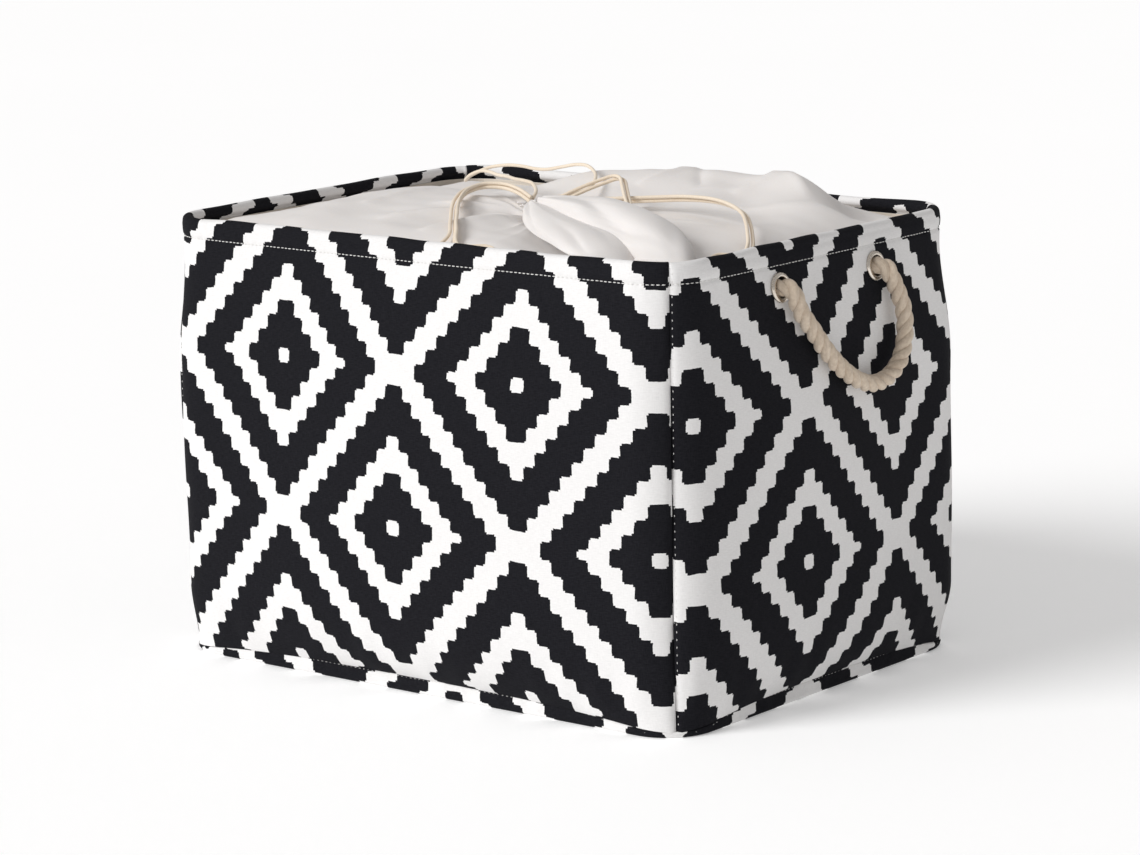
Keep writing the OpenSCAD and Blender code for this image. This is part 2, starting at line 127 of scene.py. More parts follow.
def grid_faces(rows, cols, close_rows=False, close_cols=False):
    last_r = rows if close_rows else rows - 1
    last_c = cols if close_cols else cols - 1
    faces = []
    for i in range(last_r):
        a, b = i * cols, (i + 1) % rows * cols
        for j in range(last_c):
            k = (j + 1) % cols
            faces.append((a + j, b + j, b + k, a + k))
    return faces


def join_parts(name, parts, material):
    """One object from several (verts, faces, uvs) parts."""
    verts, faces, uvs, start = [], [], [], 0
    for v, f, uv in parts:
        verts.extend(v)
        faces.extend([tuple(start + i for i in face) for face in f])
        uvs.extend(uv)
        start += len(v)
    return new_object(name, verts, faces, uvs, material)


def fix_normals(obj):
    bm = bmesh.new()
    bm.from_mesh(obj.data)
    bmesh.ops.recalc_face_normals(bm, faces=bm.faces)
    bm.to_mesh(obj.data)
    bm.free()


def unit(rows):
    return rows / np.linalg.norm(rows, axis=1)[:, None]


def full_turn(count):
    return np.linspace(0, 2 * math.pi, count, endpoint=False)


def smoothstep(x):
    x = np.clip(x, 0, 1)
    return x * x * (3 - 2 * x)


def waves(x, y, seed, count, reach):
    """Smooth seeded noise: a sum of plane waves of about the given wavelength."""
    rng = np.random.default_rng(seed)
    total = np.zeros(np.broadcast(x, y).shape)
    for _ in range(count):
        angle, phase = rng.uniform(0, 2 * math.pi, 2)
        k = 2 * math.pi / (reach * rng.uniform(0.7, 1.5))
        total = total + np.sin(k * (x * math.cos(angle) + y * math.sin(angle)) + phase)
    return total / math.sqrt(count)


# --- curves and tubes
def smooth_path(points, steps):
    """Catmull-Rom curve through points, as in the CAD, with steps to each span."""
    p = np.asarray(points, float)
    p = np.vstack([p[:1], p, p[-1:]])
    t = np.arange(steps)[:, None] / steps
    out = []
    for i in range(1, len(p) - 2):
        a, b, c, d = p[i - 1:i + 3]
        out.append(0.5 * (2 * b + (c - a) * t + (2 * a - 5 * b + 4 * c - d) * t ** 2
                          + (3 * b - a - 3 * c + d) * t ** 3))
    return np.vstack(out + [p[-1:]])


def lengths_along(path):
    """Length from a path's start to each of its points."""
    step = np.linalg.norm(np.diff(path, axis=0), axis=1)
    return np.concatenate([[0], np.cumsum(step)])


def points_at(where, along, points):
    return np.column_stack([np.interp(where, along, points[:, k]) for k in range(3)])


def resample(path, spacing):
    along = lengths_along(path)
    n = max(2, int(round(along[-1] / spacing)) + 1)
    s = np.linspace(0, along[-1], n)
    return points_at(s, along, path), s


def frames_along(path):
    """Two directions square to a path and to each other, carried along it."""
    tangent = unit(np.gradient(path, axis=0))
    side = np.zeros_like(path)
    n = np.array([0.31, 0.52, 0.79])
    for i, t in enumerate(tangent):
        n = n - np.dot(n, t) * t
        n /= np.linalg.norm(n)
        side[i] = n
    return side, np.cross(tangent, side)


def tube_part(path, radius, sides):
    """Vertices, faces and UVs (metres along, turns round) of a tube on a path."""
    a, b = frames_along(path)
    n = len(path)
    radius = np.broadcast_to(np.asarray(radius, float), (n,))
    turn = full_turn(sides)
    verts = (path[:, None] + radius[:, None, None]
             * (np.cos(turn)[None, :, None] * a[:, None]
                + np.sin(turn)[None, :, None] * b[:, None])).reshape(-1, 3)
    faces = grid_faces(n, sides, close_cols=True)
    along = lengths_along(path)
    uvs = [(along[i], j / sides) for i in range(n) for j in range(sides)]
    faces.append(tuple(range(sides)))
    faces.append(tuple((n - 1) * sides + j for j in reversed(range(sides))))
    return verts, faces, uvs


# --- materials
class Nodes:
    """Short calls for building one node tree."""

    def __init__(self, tree):
        self.tree = tree

    def add(self, kind, **sockets):
        node = self.tree.nodes.new(kind)
        for key, value in sockets.items():
            self.put(node.inputs[key.replace("_", " ")], value)
        return node

    def put(self, socket, value):
        if isinstance(value, bpy.types.NodeSocket):
            self.tree.links.new(value, socket)
        elif value is not None:
            socket.default_value = value

    def math(self, operation, a, b=None, c=None):
        node = self.tree.nodes.new("ShaderNodeMath")
        node.operation = operation
        for socket, value in zip(node.inputs, (a, b, c)):
            self.put(socket, value)
        return node.outputs[0]

    def vector(self, operation, a, b=None, scale=None):
        node = self.tree.nodes.new("ShaderNodeVectorMath")
        node.operation = operation
        self.put(node.inputs[0], a)
        if b is not None:
            self.put(node.inputs[1], b)
        if scale is not None:
            self.put(node.inputs["Scale"], scale)
        return node.outputs[0]

    def noise(self, where, scale, detail=2.0, rough=0.5, out="Fac"):
        node = self.add("ShaderNodeTexNoise", Vector=where, Scale=scale,
                        Detail=detail, Roughness=rough)
        return node.outputs[out]

    def streaks(self, place, across, up, detail, rough=0.5):
        """Noise drawn out along the cloth, from its scales across and up."""
        return self.noise(self.vector("MULTIPLY", place, (across, up, 1)), 1.0, detail, rough)

    def mix(self, fac, a, b):
        node = self.tree.nodes.new("ShaderNodeMix")
        node.data_type = "RGBA"
        self.put(node.inputs[0], fac)
        self.put(node.inputs[6], a)
        self.put(node.inputs[7], b)
        return node.outputs[2]

    def ramp(self, fac, low, high):
        """0 at low, 1 at high, straight between."""
        node = self.add("ShaderNodeMapRange", Value=fac)
        node.inputs["From Min"].default_value = low
        node.inputs["From Max"].default_value = high
        return node.outputs[0]

    def bump(self, height, distance, strength):
        node = self.add("ShaderNodeBump", Height=height, Distance=distance,
                        Strength=strength)
        return node.outputs[0]

    def cloth_place(self):
        """Place on the flat cloth, in metres."""
        uv = self.add("ShaderNodeUVMap")
        uv.uv_map = "cloth"
        return uv.outputs[0]


def rgb(r, g, b):
    return (r, g, b, 1)


def new_material(name):
    material = bpy.data.materials.new(name)
    material.use_nodes = True
    tree = material.node_tree
    shader = tree.nodes["Principled BSDF"]
    return material, Nodes(tree), shader


def finish_material(n, shader, colour, rough, normal, **plain):
    n.put(shader.inputs["Base Color"], colour)
    n.put(shader.inputs["Roughness"], rough)
    if normal is not None:
        n.put(shader.inputs["Normal"], normal)
    for key, value in plain.items():
        shader.inputs[key.replace("_", " ")].default_value = value


# The print: rows of stepped diamonds. Lengths in metres on the flat cloth.
PRINT_W, PRINT_H = 182 * MM, 188.8 * MM  # repeat across and up
# Each shape: levels, narrowest half width, step across, lowest half height, step up,
# and the half height of the nub at its widest
PRINT_SHAPES = (
    (10, 6.5, 7.7, 5.3, 8.87, 5.3),  # black outer diamond
    (7, 4.7, 7.75, 1.75, 8.9, 3.0),  # white ring's outline
    (4, 7.0, 7.67, 5.3, 9.25, 5.3),  # black heart
    (1, 4.5, 1.0, 4.5, 1.0, 4.5),  # white middle square
)


def print_group():
    """Node group: flat cloth place (metres) to 1 where the print is black."""
    tree = bpy.data.node_groups.new("stepped_print", "ShaderNodeTree")
    tree.interface.new_socket("Place", in_out="INPUT", socket_type="NodeSocketVector")
    tree.interface.new_socket("Black", in_out="OUTPUT", socket_type="NodeSocketFloat")
    n = Nodes(tree)
    into = tree.nodes.new("NodeGroupInput").outputs[0]
    out = tree.nodes.new("NodeGroupOutput").inputs[0]
    split = n.add("ShaderNodeSeparateXYZ", Vector=into)
    total = None
    for row in (0, 0.5):
        across = n.math("WRAP", n.math("SUBTRACT", split.outputs[0], row * PRINT_W),
                        PRINT_W / 2, -PRINT_W / 2)
        up = n.math("WRAP", n.math("SUBTRACT", split.outputs[1], row * PRINT_H),
                    PRINT_H / 2, -PRINT_H / 2)
        across, up = n.math("ABSOLUTE", across), n.math("ABSOLUTE", up)
        for i, (levels, w0, dw, h0, dh, nub) in enumerate(PRINT_SHAPES):
            over = n.math("DIVIDE", n.math("SUBTRACT", up, h0 * MM), dh * MM)
            level = n.math("MAXIMUM", n.math("CEIL", over), 0)
            width = n.math("MULTIPLY_ADD", level, -dw * MM, (w0 + dw * (levels - 1)) * MM)
            inside = n.math("LESS_THAN", across, width)
            if levels == 1:
                inside = n.math("MULTIPLY", inside, n.math("LESS_THAN", up, h0 * MM))
            elif nub > h0:
                widest = n.math("LESS_THAN", across, (w0 + dw * (levels - 1)) * MM)
                tip = n.math("MULTIPLY", widest, n.math("LESS_THAN", up, nub * MM))
                inside = n.math("MAXIMUM", inside, tip)
            signed = n.math("MULTIPLY", inside, 1 if i % 2 == 0 else -1)
            total = signed if total is None else n.math("ADD", total, signed)
    n.put(out, total)
    return tree


TAP = 1.2 * MM  # the print is sampled this far round
TAPS = ((0, 0), (-TAP, -TAP), (-TAP, TAP), (TAP, -TAP), (TAP, TAP))
DRIFT, RAGGED = 2.2 * MM, 0.5 * MM  # how far the print's edges wander


def canvas_material(name, phase, group):
    """Printed canvas. phase is the place of a diamond's middle on the flat cloth."""
    material, n, shader = new_material(name)
    place = n.cloth_place()
    drift = n.vector("SUBTRACT", n.noise(place, 70, 2, out="Color"), (0.5, 0.5, 0.5))
    ragged = n.vector("SUBTRACT", n.noise(place, 900, 2, out="Color"), (0.5, 0.5, 0.5))
    wobbly = n.vector("ADD", place, n.vector("SCALE", drift, scale=DRIFT))
    wobbly = n.vector("ADD", wobbly, n.vector("SCALE", ragged, scale=RAGGED))
    wobbly = n.vector("SUBTRACT", wobbly, (phase[0], phase[1], 0))
    taps = None
    for dx, dy in TAPS:
        tap = n.add("ShaderNodeGroup")
        tap.node_tree = group
        n.put(tap.inputs[0], n.vector("ADD", wobbly, (dx, dy, 0)))
        taps = tap.outputs[0] if taps is None else n.math("ADD", taps, tap.outputs[0])
    black = n.math("GREATER_THAN", taps, len(TAPS) / 2)
    # Weave: fine threads both ways, uneven along the weft
    weft = n.streaks(place, 260, 2100, 3, 0.6)
    warp = n.streaks(place, 1700, 260, 2, 0.6)
    threads = n.add("ShaderNodeTexWave", Vector=place, Scale=420.0, Distortion=1.2,
                    Detail=1.0)
    threads.bands_direction = "Y"
    weave = n.math("ADD", n.math("MULTIPLY", weft, 0.6),
                   n.math("MULTIPLY_ADD", warp, 0.35,
                          n.math("MULTIPLY", threads.outputs["Fac"], 0.15)))
    slub = n.ramp(weave, 0.35, 0.75)
    mottle = n.noise(place, 35, 3)
    ink = n.mix(n.math("MULTIPLY", slub, 0.8), rgb(0.006, 0.006, 0.008),
                rgb(0.021, 0.021, 0.025))
    white = n.mix(slub, rgb(0.74, 0.73, 0.725), rgb(0.88, 0.87, 0.865))
    white = n.mix(n.math("MULTIPLY", mottle, 0.25), white, rgb(0.80, 0.79, 0.78))
    colour = n.mix(black, white, ink)
    height = n.math("ADD", weave, n.math("MULTIPLY", black, 0.12))
    rough = n.math("MULTIPLY_ADD", weave, 0.15, 0.78)
    finish_material(n, shader, colour, rough, n.bump(height, 0.25 * MM, 0.55),
                    Specular_IOR_Level=0.05, Sheen_Weight=0.01, Sheen_Roughness=0.5)
    return material


def cloth_material(name, base, dark, pitch, bump, sub=0.0):
    """Plain woven cloth: crossing threads, faint streaks and soiling."""
    material, n, shader = new_material(name)
    place = n.cloth_place()
    k = 1 / (pitch * MM)
    weft = n.streaks(place, k * 0.18, k, 2, 0.55)
    warp = n.streaks(place, k, k * 0.18, 2, 0.55)
    weave = n.math("MULTIPLY", n.math("ADD", weft, warp), 0.5)
    soft = n.noise(place, 18, 3)
    fac = n.math("MULTIPLY_ADD", n.ramp(weave, 0.3, 0.7), 0.5,
                 n.math("MULTIPLY", n.ramp(soft, 0.35, 0.75), 0.5))
    colour = n.mix(fac, dark, base)
    roughness = n.math("MULTIPLY_ADD", weave, 0.12, 0.79)
    finish_material(n, shader, colour, roughness, n.bump(weave, bump * MM, 0.5),
                    Specular_IOR_Level=0.3, Sheen_Weight=0.2, Sheen_Roughness=0.4)
    if sub:
        shader.inputs["Subsurface Weight"].default_value = sub
        shader.inputs["Subsurface Radius"].default_value = (0.006, 0.005, 0.004)
        shader.inputs["Subsurface Scale"].default_value = 0.5
    return material


def rope_material(name, light, dark, along, around, bump):
    """Twisted cotton yarn: UV is (metres along, turns round)."""
    material, n, shader = new_material(name)
    place = n.cloth_place()
    fibres = n.streaks(place, along, around, 4, 0.65)
    fuzz = n.streaks(place, along * 5, around * 2, 3)
    tone = n.streaks(place, 25, 1.5, 2)
    fac = n.math("MULTIPLY_ADD", n.ramp(fibres, 0.3, 0.7), 0.6,
                 n.math("MULTIPLY", n.ramp(tone, 0.3, 0.7), 0.4))
    height = n.math("MULTIPLY_ADD", fuzz, 0.4, fibres)
    finish_material(n, shader, n.mix(fac, dark, light),
                    n.math("MULTIPLY_ADD", fibres, 0.1, 0.82),
                    n.bump(height, bump * MM, 0.7),
                    Specular_IOR_Level=0.2, Sheen_Weight=0.25, Sheen_Roughness=0.5)
    return material


def metal_material(name, colour, dark, rough, scratch_scale):
    material, n, shader = new_material(name)
    where = n.add("ShaderNodeTexCoord").outputs["Object"]
    marks = n.noise(where, scratch_scale, 4, 0.6)
    stains = n.noise(where, scratch_scale / 12, 3)
    colour = n.mix(n.math("MULTIPLY", n.ramp(stains, 0.4, 0.8), 0.6), colour, dark)
    roughness = n.math("MULTIPLY_ADD", n.ramp(marks, 0.3, 0.8), 0.14, rough)
    finish_material(n, shader, colour, roughness, n.bump(marks, 0.02 * MM, 0.4),
                    Metallic=1.0)
    return material


def board_material(name):
    material, n, shader = new_material(name)
    where = n.add("ShaderNodeTexCoord").outputs["Object"]
    fibre = n.noise(n.vector("MULTIPLY", where, (1, 3, 3)), 300, 4, 0.6)
    fleck = n.noise(where, 900, 2)
    colour = n.mix(fibre, rgb(0.30, 0.25, 0.19), rgb(0.48, 0.41, 0.33))
    colour = n.mix(n.ramp(fleck, 0.62, 0.72), colour, rgb(0.2, 0.17, 0.13))
    finish_material(n, shader, colour, n.math("MULTIPLY_ADD", fibre, 0.1, 0.8),
                    n.bump(fibre, 0.1 * MM, 0.4), Specular_IOR_Level=0.3)
    return material


# --- shape of a wall
def fullness(z):
    z = np.asarray(z, float)
    low = 1 - (1 - np.clip((z - SEAM) / (FULL_Z - SEAM), 0, 1)) ** 6
    rise = np.clip((BOW_TOP - z) / (BOW_TOP - FULL_Z), 0, 1)
    high = np.sin(math.pi / 2 * rise) ** 0.8
    return np.where(z < FULL_Z, low, high)


def bow(s, z, amount):
    return ((amount + PULL) * (1 - np.abs(s) ** 2.3) - PULL) * fullness(z)


def wall_xy(u, off, straight, reach):
    """Plan point of a long wall facing +Y, at length u and offset off."""
    over = np.maximum(np.abs(u) - straight, 0)
    side = np.where(u < 0, -1.0, 1.0)
    t = over / CORNER_R
    along = np.where(over > 0, side * (straight + (CORNER_R + off) * np.sin(t)), u)
    out = np.where(over > 0, reach + (CORNER_R + off) * np.cos(t), reach + CORNER_R + off)
    return along, out


WALLS = {
    # name: (straight half, reach of the corner centre, bow, quarter turns, seed)
    "front": (CX, CY, BOW_LONG, 2, 11),
    "back": (CX, CY, BOW_LONG, 0, 12),
    "right": (CY, CX, BOW_SHORT, 3, 13),
    "left": (CY, CX, BOW_SHORT, 1, 14),
}


def place_wall(along, out, z, turns):
    """From a wall facing +Y to its place: quarter turns anticlockwise."""
    c, s = ((1, 0), (0, 1), (-1, 0), (0, -1))[turns]
    return np.stack([c * along - s * out, s * along + c * out, z], -1)


# The front left and back right corners fill out more. By quarter turns: which end of
# the wall that is, and how far it goes out
FAR_ENDS = {0: 1, 1: -1, 2: 1, 3: -1}
FAR_SWELL = {0: 7.5 * MM, 1: 5.5 * MM, 2: 5.5 * MM, 3: 7.5 * MM}
SWELL_REACH = 48 * MM  # along the wall, from the corner


def far_swell(u, z, length, turns):
    """How far a wall is pushed out next to its fuller corner."""
    gap = length - u * FAR_ENDS[turns]
    up = smoothstep((z - SEAM) / (35 * MM)) * (1 - smoothstep((z - RIM + 90 * MM) / (70 * MM)))
    return FAR_SWELL[turns] * np.exp(-(gap / SWELL_REACH) ** 2) * up


def half_length(name):
    """From a wall's middle to its corner seam, along the cloth."""
    return WALLS[name][0] + ARC


def seam_height(s):
    """The lower seam sinks to the floor at the corners."""
    return SEAM - CORNER_SINK * np.abs(s) ** 3


def wall_surface(name, s, off, z):
    """Points of a wall at s (-1..1), offset and height, with its soft unevenness."""
    straight, reach, amount, turns, seed = WALLS[name]
    length = half_length(name)
    u = s * length
    sink = (seam_height(s) - SEAM) * (1 - smoothstep((z - SEAM) / (60 * MM)))
    soft = waves(u, z, seed, 7, 130 * MM) * 0.9 * MM * fullness(z)
    low = (1 - smoothstep((z - SEAM) / (45 * MM))) * fullness(z)
    creases = waves(u * 1.8, z * 0.6, seed + 50, 6, 45 * MM) * 1.3 * MM * low
    off = off + bow(s, z, amount) + soft + creases + far_swell(u, z, length, turns)
    along, out = wall_xy(u, off, straight, reach)
    return place_wall(along, out, z + sink, turns)


def path_lengths(points):
    """Lengths down each column of points[row, column], measured along rows."""
    step = np.linalg.norm(np.diff(points, axis=0), axis=2)
    return np.vstack([np.zeros(points.shape[1]), np.cumsum(step, axis=0)])


# --- grommets: places and holes
SHORT_LEN = CY + ARC


def short_wall_x(y, z):
    return HALF_W + float(bow(y / SHORT_LEN, z, BOW_SHORT))


GROMMET_X = short_wall_x(GROMMET_Y, GROMMET_Z)
TILT = math.atan((short_wall_x(GROMMET_Y, GROMMET_Z - 4 * MM)
                  - short_wall_x(GROMMET_Y, GROMMET_Z + 4 * MM)) / (8 * MM))
GROMMET_R = 9 * MM
BARREL_R = 6.2 * MM
HOLE_R = 7.7 * MM  # cut in the cloth, under the flange


def grommet_axes(side):
    """Middle and outward direction of the two grommets on the wall at side * X."""
    out = np.array([side * math.cos(TILT), 0, math.sin(TILT)])
    return [(np.array([side * GROMMET_X, end * GROMMET_Y, GROMMET_Z]), out)
            for end in (-1, 1)]


def without_holes(verts, faces, side):
    verts, faces = np.asarray(verts), np.asarray(faces)
    centres = verts[faces].mean(1)
    keep = np.ones(len(faces), bool)
    for middle, out in grommet_axes(side):
        away = centres - middle
        depth = away @ out
        radial = np.linalg.norm(away - depth[:, None] * out, axis=1)
        keep &= ~((radial < HOLE_R) & (np.abs(depth) < 12 * MM))
    return faces[keep]


# --- cloth walls
def closed_cloth(name, outer, inner, uv, material, close_cols=False, hole_side=0):
    """A closed cloth from two grids of points, rows going up and columns across."""
    rows, cols = outer.shape[:2]
    verts = np.vstack([outer.reshape(-1, 3), inner[::-1].reshape(-1, 3)])
    uvs = np.vstack([uv.reshape(-1, 2), uv[::-1].reshape(-1, 2)])
    faces = grid_faces(rows * 2, cols, close_rows=True, close_cols=close_cols)
    for j in () if close_cols else (0, cols - 1):
        for i in range(rows - 1):
            k = 2 * rows - 1 - i
            quad = (i * cols + j, (i + 1) * cols + j, (k - 1) * cols + j, k * cols + j)
            faces.append(quad if j == 0 else quad[::-1])
    if hole_side:
        faces = without_holes(verts, faces, hole_side)
    obj = new_object(name, verts, faces, uvs, material)
    fix_normals(obj)
    return obj


def cloth_shell(name, outer, inner, uv, material, hole_side):
    obj = closed_cloth(name, outer, inner, uv, material, False, hole_side)
    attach(obj, "root")
    return obj


def wall_heights(low, high):
    """Rows of a wall: close at the seam, the grommets and the hem."""
    return np.unique(np.round(np.concatenate([
        low + 34 * MM * np.linspace(0, 1, 20) ** 1.5,
        np.arange(low + 38 * MM, GROMMET_Z - 14 * MM, 5 * MM),
        np.arange(GROMMET_Z - 13 * MM, GROMMET_Z + 9 * MM, 1.6 * MM),
        np.arange(GROMMET_Z + 9.5 * MM, high, 0.9 * MM), [high]]), 6))


WALL_COLUMNS = 173
HOLE_SIDES = {"right": 1, "left": -1}


def hem_dents(name, s, z):
    """Pull of the hem stitches and of the corner seams on the outer face."""
    length = half_length(name)
    u = s * length
    stitch_z = RIM - HEM
    line = -0.8 * MM * np.exp(-((z - stitch_z) / (1.1 * MM)) ** 2)
    drift = 3 * waves(u, 0 * u, 3, 3, 40 * MM)
    pucker = 0.22 * MM * np.sin(2 * math.pi * u / (9 * MM) + drift)
    pucker = pucker * np.exp(-((z - stitch_z) / (4 * MM)) ** 2)
    puff = 0.5 * MM * np.exp(-((z - stitch_z - 5 * MM) / (3 * MM)) ** 2)
    seam = -1.4 * MM * np.exp(-((length - np.abs(u)) / (1.6 * MM)) ** 2)
    return line + pucker + puff + seam


def canvas_wall(name, material):
    s = np.linspace(-1, 1, WALL_COLUMNS)
    length = half_length(name)
    u = s * length
    heights = wall_heights(SEAM, WIRE_Z)
    angles = np.radians(np.linspace(0, 225, 20)[1:])
    fold_seam = -0.8 * MM * np.exp(-((length - np.abs(u)) / (1.6 * MM)) ** 2)
    lift = waves(u, 0 * u, WALLS[name][4] + 9, 5, 60 * MM) * 0.35 * MM
    flap = ((-3.3, RIM - 7.2 * MM), (-2.5, RIM - FLAP), (-2.5, RIM - HEM - 1 * MM))

    def rows_at(inward):
        rows = []
        for z in heights:
            z = np.full_like(s, z)
            rows.append(wall_surface(name, s, hem_dents(name, s, z) - inward, z))
        radius = FOLD_R + CANVAS - inward
        for a in angles:
            z = WIRE_Z + radius * math.sin(a) + lift * math.sin(a)
            off = WIRE_OFF + radius * math.cos(a) + fold_seam
            rows.append(wall_surface(name, s, off, z))
        for off, z in flap:
            z = np.full_like(s, z)
            rows.append(wall_surface(name, s, off * MM + inward + 0 * s, z))
        return np.array(rows)

    outer, inner = rows_at(0.0), rows_at(CANVAS)
    lengths = path_lengths(outer)
    top = len(heights) + 7  # row at the top of the fold
    uv = np.stack([np.broadcast_to(-u, outer.shape[:2]), lengths - lengths[top]], -1)
    obj = cloth_shell(f"{name}_canvas", outer, inner, uv, material, HOLE_SIDES.get(name, 0))
    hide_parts(f"{name}_panel")


def lining_wall(name, material):
    s = np.linspace(-1, 1, WALL_COLUMNS)
    length = half_length(name)
    top_z = RIM - FLAP
    stitch_z = top_z - 2.2 * MM
    heights = wall_heights(LINING_LO.z, top_z)

    def rows_at(off):
        rows = []
        for z in heights:
            z = np.full_like(s, z)
            pull = 0.5 * MM * np.exp(-((z - stitch_z) / (0.9 * MM)) ** 2)
            row = wall_surface(name, s, off + pull, z)
            row[..., 2] = z
            rows.append(row)
        return np.array(rows)

    outer, inner = rows_at(LINING_OFF), rows_at(LINING_OFF - LINING_T)
    uv = np.stack(np.broadcast_arrays(-s * length, heights[:, None]), -1)
    obj = cloth_shell(f"{name}_lining_cloth", outer, inner, uv, material,
                      HOLE_SIDES.get(name, 0))
    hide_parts(f"{name}_lining")


# --- base
def plan_loop(off, count):
    """Points round the walls' plan at an offset, with outward directions."""
    sides = [2 * CX, 2 * CY, 2 * CX, 2 * CY]
    corners = np.array(((CX, -CY), (CX, CY), (-CX, CY), (-CX, -CY)))
    quarter = math.pi / 2 * CORNER_R
    points, outs = [], []
    for t in np.arange(count) / count * (sum(sides) + 4 * quarter):
        k = 0
        while t - sides[k] >= quarter:
            t = t - sides[k] - quarter
            k += 1
        angle = -math.pi / 2 + k * math.pi / 2
        over = t - sides[k]
        if over >= 0:
            angle += over / quarter * math.pi / 2
        out = np.array([math.cos(angle), math.sin(angle)])
        run = np.array([-out[1], out[0]]) * t
        start = corners[k] if over >= 0 else corners[k - 1] + run
        points.append(start + out * (CORNER_R + off))
        outs.append(out)
    return np.array(points), np.array(outs)


def corner_nearness(points):
    """0 along the sides to 1 at the middle of each corner."""
    ax, ay = np.abs(points[:, 0]), np.abs(points[:, 1])
    near = np.minimum(ax / (HALF_W - 9 * MM), ay / (HALF_D - 9 * MM))
    return smoothstep((near - 0.55) / 0.45)


def base_cloth(material):
    count = 560
    points, outs = plan_loop(0, count)
    lip = SEAM + 0.8 * MM - CORNER_SINK * corner_nearness(points)
    turn_r = 2.5 * MM
    rows, uvs = [], []

    def add_row(inset, z, stretch):
        x = points - outs * inset[:, None]
        rows.append(np.column_stack([x, z]))
        uvs.append(points + outs * stretch[:, None])

    one = np.ones(count)
    for shrink in (0.0, 0.3, 0.6, 0.85, 0.95):
        rows.append(np.column_stack([points * shrink, 0 * one]))
        uvs.append(points * shrink)
    for a in np.radians(np.linspace(0, 90, 8)):
        add_row(turn_r * (1 - math.sin(a)) * one, turn_r * (1 - math.cos(a)) * one,
                (turn_r * (a - 1)) * one)
    for f in np.linspace(0.15, 1, 6):
        wave = 0.25 * MM * np.sin(np.arange(count) / count * 2 * math.pi * 90)
        z = turn_r + (lip - turn_r) * f
        tuck = 0.9 * MM * f ** 6
        add_row(wave * f * (1 - f) * 4 + tuck, z, z)
    outer = np.array(rows)
    inner = outer.copy()
    bottom = 5
    inner[:bottom, :, 2] += CANVAS
    for i in range(bottom, len(rows)):
        inner[i, :, :2] -= outs * CANVAS
        inner[i, :, 2] = np.maximum(outer[i, :, 2], CANVAS)
    obj = closed_cloth("base_canvas", outer, inner, np.array(uvs), material, True)
    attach(obj, "root")
    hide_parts("base_panel")


def base_lining_cloth(material):
    """The loose lining over the base board, with soft rumples."""
    lo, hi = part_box("base_lining")
    count, rings = 240, 40
    points, _ = plan_loop(LINING_OFF - LINING_T - 0.3 * MM, count)
    shrink = np.linspace(0, 1, rings)[:, None, None]
    plan = points[None] * shrink
    rumple = waves(plan[..., 0], plan[..., 1], 31, 8, 90 * MM)
    fade = np.clip((1 - shrink[..., 0]) * 6, 0, 1)
    top = hi.z + np.maximum(rumple, 0) * 1.2 * MM * fade
    outer = np.dstack([plan, np.full_like(top, lo.z)])
    inner = np.dstack([plan, top])
    obj = closed_cloth("base_lining_cloth", outer, inner, plan, material, True)
    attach(obj, "root")
    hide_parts("base_lining")


# --- stitches
def stitch_parts(path, normals, pitch, length, radius):
    """Short threads that rise out of the cloth and dive back in, along a path."""
    fine, along = resample(path, 0.3 * MM)
    t = np.linspace(0, 1, len(path))
    tf = np.linspace(0, 1, len(fine))
    up = unit(points_at(tf, t, normals))
    parts = []
    for start in np.arange(0.5 * pitch, along[-1] - length, pitch):
        run = start + length * np.linspace(0, 1, 6)
        at, out = points_at(run, along, fine), points_at(run, along, up)
        arch = np.sin(math.pi * np.linspace(0, 1, 6))
        lift = (arch * 1.1 - 0.75) * radius
        thick = radius * (0.55 + 0.45 * arch)
        parts.append(tube_part(at + out * lift[:, None], thick, 7))
    return parts


def finish_stitches(name, parts, material, node):
    obj = join_parts(name, parts, material)
    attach(obj, "root")
    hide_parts(node)


def wall_stitches(name, s, z, lifts, pitch, length, radius):
    """Stitches along a line on a wall. Its two lifts off the cloth give the way up."""
    dents = hem_dents(name, s, z)
    path, proud = (wall_surface(name, s, dents + lift, z) for lift in lifts)
    return stitch_parts(path, proud - path, pitch, length, radius)


def hem_stitches(material):
    parts = []
    s = np.linspace(-0.995, 0.995, 500)
    for name in WALLS:
        parts += wall_stitches(name, s, np.full_like(s, RIM - HEM), (0.2 * MM, 1.2 * MM),
                               3.1 * MM, 2.15 * MM, 0.32 * MM)
    finish_stitches("hem_stitches", parts, material, "hem_stitching")


def corner_stitches(material):
    """A line of small stitches beside each corner seam, on the short walls."""
    parts = []
    z = np.linspace(SEAM + 2 * MM, RIM - 2 * MM, 300)
    for name in ("right", "left"):
        for end in (-1, 1):
            s = np.full_like(z, end * (1 - 1.5 * MM / half_length(name)))
            parts += wall_stitches(name, s, z, (0, 1 * MM), 4.5 * MM, 1.2 * MM, 0.25 * MM)
    finish_stitches("corner_stitches", parts, material, "corner_stitching")


def base_stitches(material):
    points, outs = plan_loop(0, 900)
    z = SEAM - 0.7 * MM - CORNER_SINK * corner_nearness(points)
    path = np.column_stack([points - outs * 0.3 * MM, z])
    path = np.vstack([path, path[:1]])
    up = np.column_stack([outs, 0 * z])
    up = np.vstack([up, up[:1]])
    parts = stitch_parts(path, up, 3.4 * MM, 1.4 * MM, 0.16 * MM)
    finish_stitches("base_stitches", parts, material, "base_stitching")


